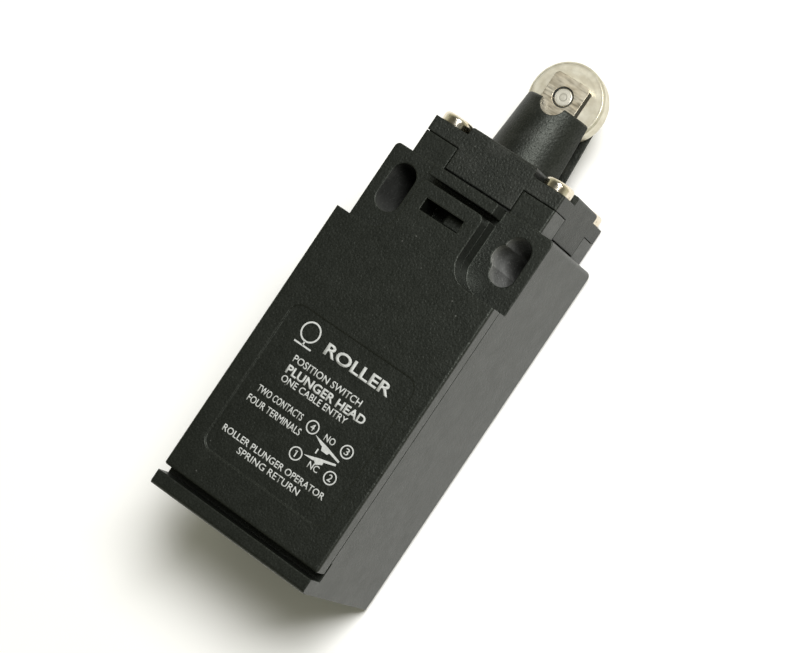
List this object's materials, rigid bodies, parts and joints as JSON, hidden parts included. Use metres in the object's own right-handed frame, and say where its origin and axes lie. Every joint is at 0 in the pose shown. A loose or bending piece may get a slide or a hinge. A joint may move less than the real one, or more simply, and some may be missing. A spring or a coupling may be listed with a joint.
{
  "type": "limit switch",
  "caption": "Roller plunger limit switch: slotted mounting ears, hinged wiring cover, square head with guide tube and a sprung steel roller plunger working a contact block.",
  "frame": {"origin": "on the rear mounting face, midway between the two mounting slots", "axes": "+Z out of the rear face towards the hinged cover, +Y along the plunger towards the roller, +X to the right seen from the cover"},
  "size_m": [0.03, 0.0898, 0.032],
  "materials": {
    "case_plastic": "fine-textured black",
    "head_plastic": "smooth black",
    "seal_rubber": "matte black",
    "plain_steel": "turned",
    "plated_screw": "zinc plated",
    "nickel": "nickel plated",
    "spring_steel": "drawn wire",
    "roller_steel": "satin",
    "bush_brass": "turned",
    "contact_brass": "stamped",
    "contact_silver": "silver",
    "block_plastic": "moulded red-brown",
    "carrier_plastic": "moulded cream"
  },
  "bodies": {
    "housing": {"casing": "case_plastic", "head_housing": "head_plastic", "head_gasket": "seal_rubber", "head_screws": "plated_screw", "plunger_seal": "seal_rubber", "seal_retainer": "plain_steel", "contact_block_base": "block_plastic", "contact_block_cover": "block_plastic", "fixed_contact_tips": "contact_silver", "nc_terminal_right": "contact_brass", "nc_terminal_left": "contact_brass", "no_terminal_right": "contact_brass", "no_terminal_left": "contact_brass", "terminal_screws": "plated_screw", "wire_clamps": "plated_screw", "contact_block_screws": "plated_screw", "return_spring": "spring_steel", "carrier_spring": "spring_steel"},
    "cover": {"front_cover": "case_plastic", "cover_gasket": "seal_rubber", "hinge_pins": "plain_steel"},
    "latch": {"cover_latch": "case_plastic"},
    "plunger": {"plunger_fork": "nickel", "pushrod": "plain_steel", "retaining_ring": "spring_steel", "roller_pin": "plain_steel"},
    "roller": {"roller": "roller_steel", "roller_bush": "bush_brass"},
    "carrier": {"contact_carrier": "carrier_plastic", "nc_bridge": "contact_brass", "no_bridge": "contact_brass", "moving_contact_tips": "contact_silver"}
  },
  "joints": [
    {"name": "cover_hinge", "type": "hinge", "parent": "housing", "child": "cover", "pos_m": [0, -0.053, 0.0299], "axis": [1, 0, 0], "range_deg": [0, 95]},
    {"name": "latch_slide", "type": "slide", "parent": "housing", "child": "latch", "axis": [-1, 0, 0], "range_m": [0, 0.002], "stiffness_N_per_m": 150},
    {"name": "plunger_slide", "type": "slide", "parent": "housing", "child": "plunger", "axis": [0, -1, 0], "range_m": [0, 0.0045], "stiffness_N_per_m": 1200, "springref_m": -0.003, "deforming": ["return_spring"]},
    {"name": "roller_spin", "type": "hinge", "parent": "plunger", "child": "roller", "pos_m": [0, 0.02595, 0.0129], "axis": [0, 0, 1], "continuous": true},
    {"name": "carrier_slide", "type": "slide", "parent": "housing", "child": "carrier", "axis": [0, -1, 0], "range_m": [0, 0.00225], "stiffness_N_per_m": 200, "springref_m": -0.001, "deforming": ["carrier_spring"]}
  ],
  "couplings": [
    {"joint": "carrier_slide", "follows": "plunger_slide", "ratio": 0.5}
  ]
}
